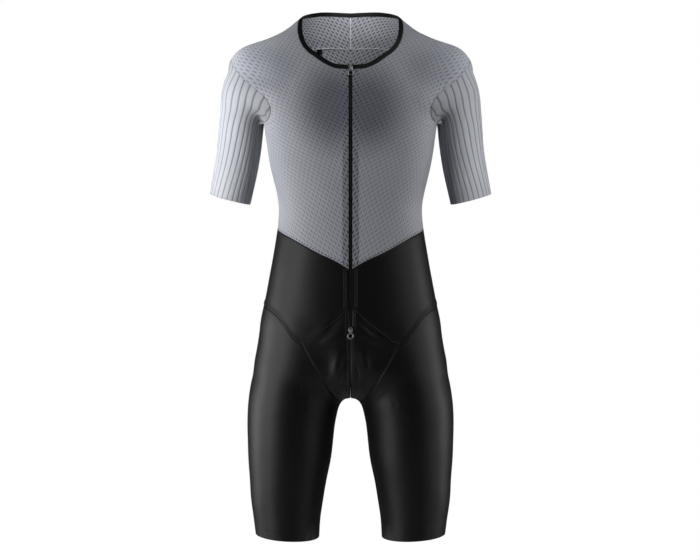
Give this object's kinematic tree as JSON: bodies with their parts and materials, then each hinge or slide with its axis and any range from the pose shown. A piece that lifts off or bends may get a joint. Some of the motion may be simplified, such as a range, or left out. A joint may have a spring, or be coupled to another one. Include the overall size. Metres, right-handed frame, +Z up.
{
  "type": "cycling skinsuit",
  "caption": "One-piece cycling skinsuit in its worn, hollow form: short ribbed sleeves, full front zip, pointed waist seam and thigh-length legs.",
  "frame": {"origin": "the middle of the neck opening, level with the shoulders that carry the suit, on the plane that splits it left and right", "axes": "+Z up from the legs to the neck, -Y to the suit's front, where the zip is, +X to the wearer's left"},
  "size_m": [0.5302, 0.245, 0.9982],
  "materials": {
    "mesh_knit": "grey mesh knit, matt",
    "ribbed_knit": "grey raised-rib knit, satin",
    "black_knit": "black stretch knit, faint sheen",
    "black_tape": "black binding and zip tape, matt",
    "zip_metal": "dark plated metal, satin"
  },
  "bodies": {
    "suit": {"back": "mesh_knit", "front_left": "mesh_knit", "front_right": "mesh_knit", "yoke_left": "mesh_knit", "yoke_right": "mesh_knit", "sleeve_left": "ribbed_knit", "sleeve_right": "ribbed_knit", "waist_left": "black_knit", "waist_right": "black_knit", "inset_left": "black_knit", "inset_right": "black_knit", "leg_left": "black_knit", "leg_right": "black_knit", "neck_binding": "black_tape", "inner_tab": "black_tape", "zip_left": "black_tape", "zip_right": "black_tape", "top_slider": "zip_metal", "bottom_slider": "zip_metal"},
    "top_pull": {"top_pull": "zip_metal"},
    "bottom_pull": {"bottom_pull": "zip_metal"}
  },
  "joints": [
    {"name": "top_pull_hinge", "type": "hinge", "parent": "suit", "child": "top_pull", "pos_m": [0, -0.09332, -0.06913], "axis": [-1, 0, 0], "range_deg": [0, 150]},
    {"name": "bottom_pull_hinge", "type": "hinge", "parent": "suit", "child": "bottom_pull", "pos_m": [0, -0.10456, -0.54282], "axis": [-1, 0, 0], "range_deg": [0, 150]}
  ]
}
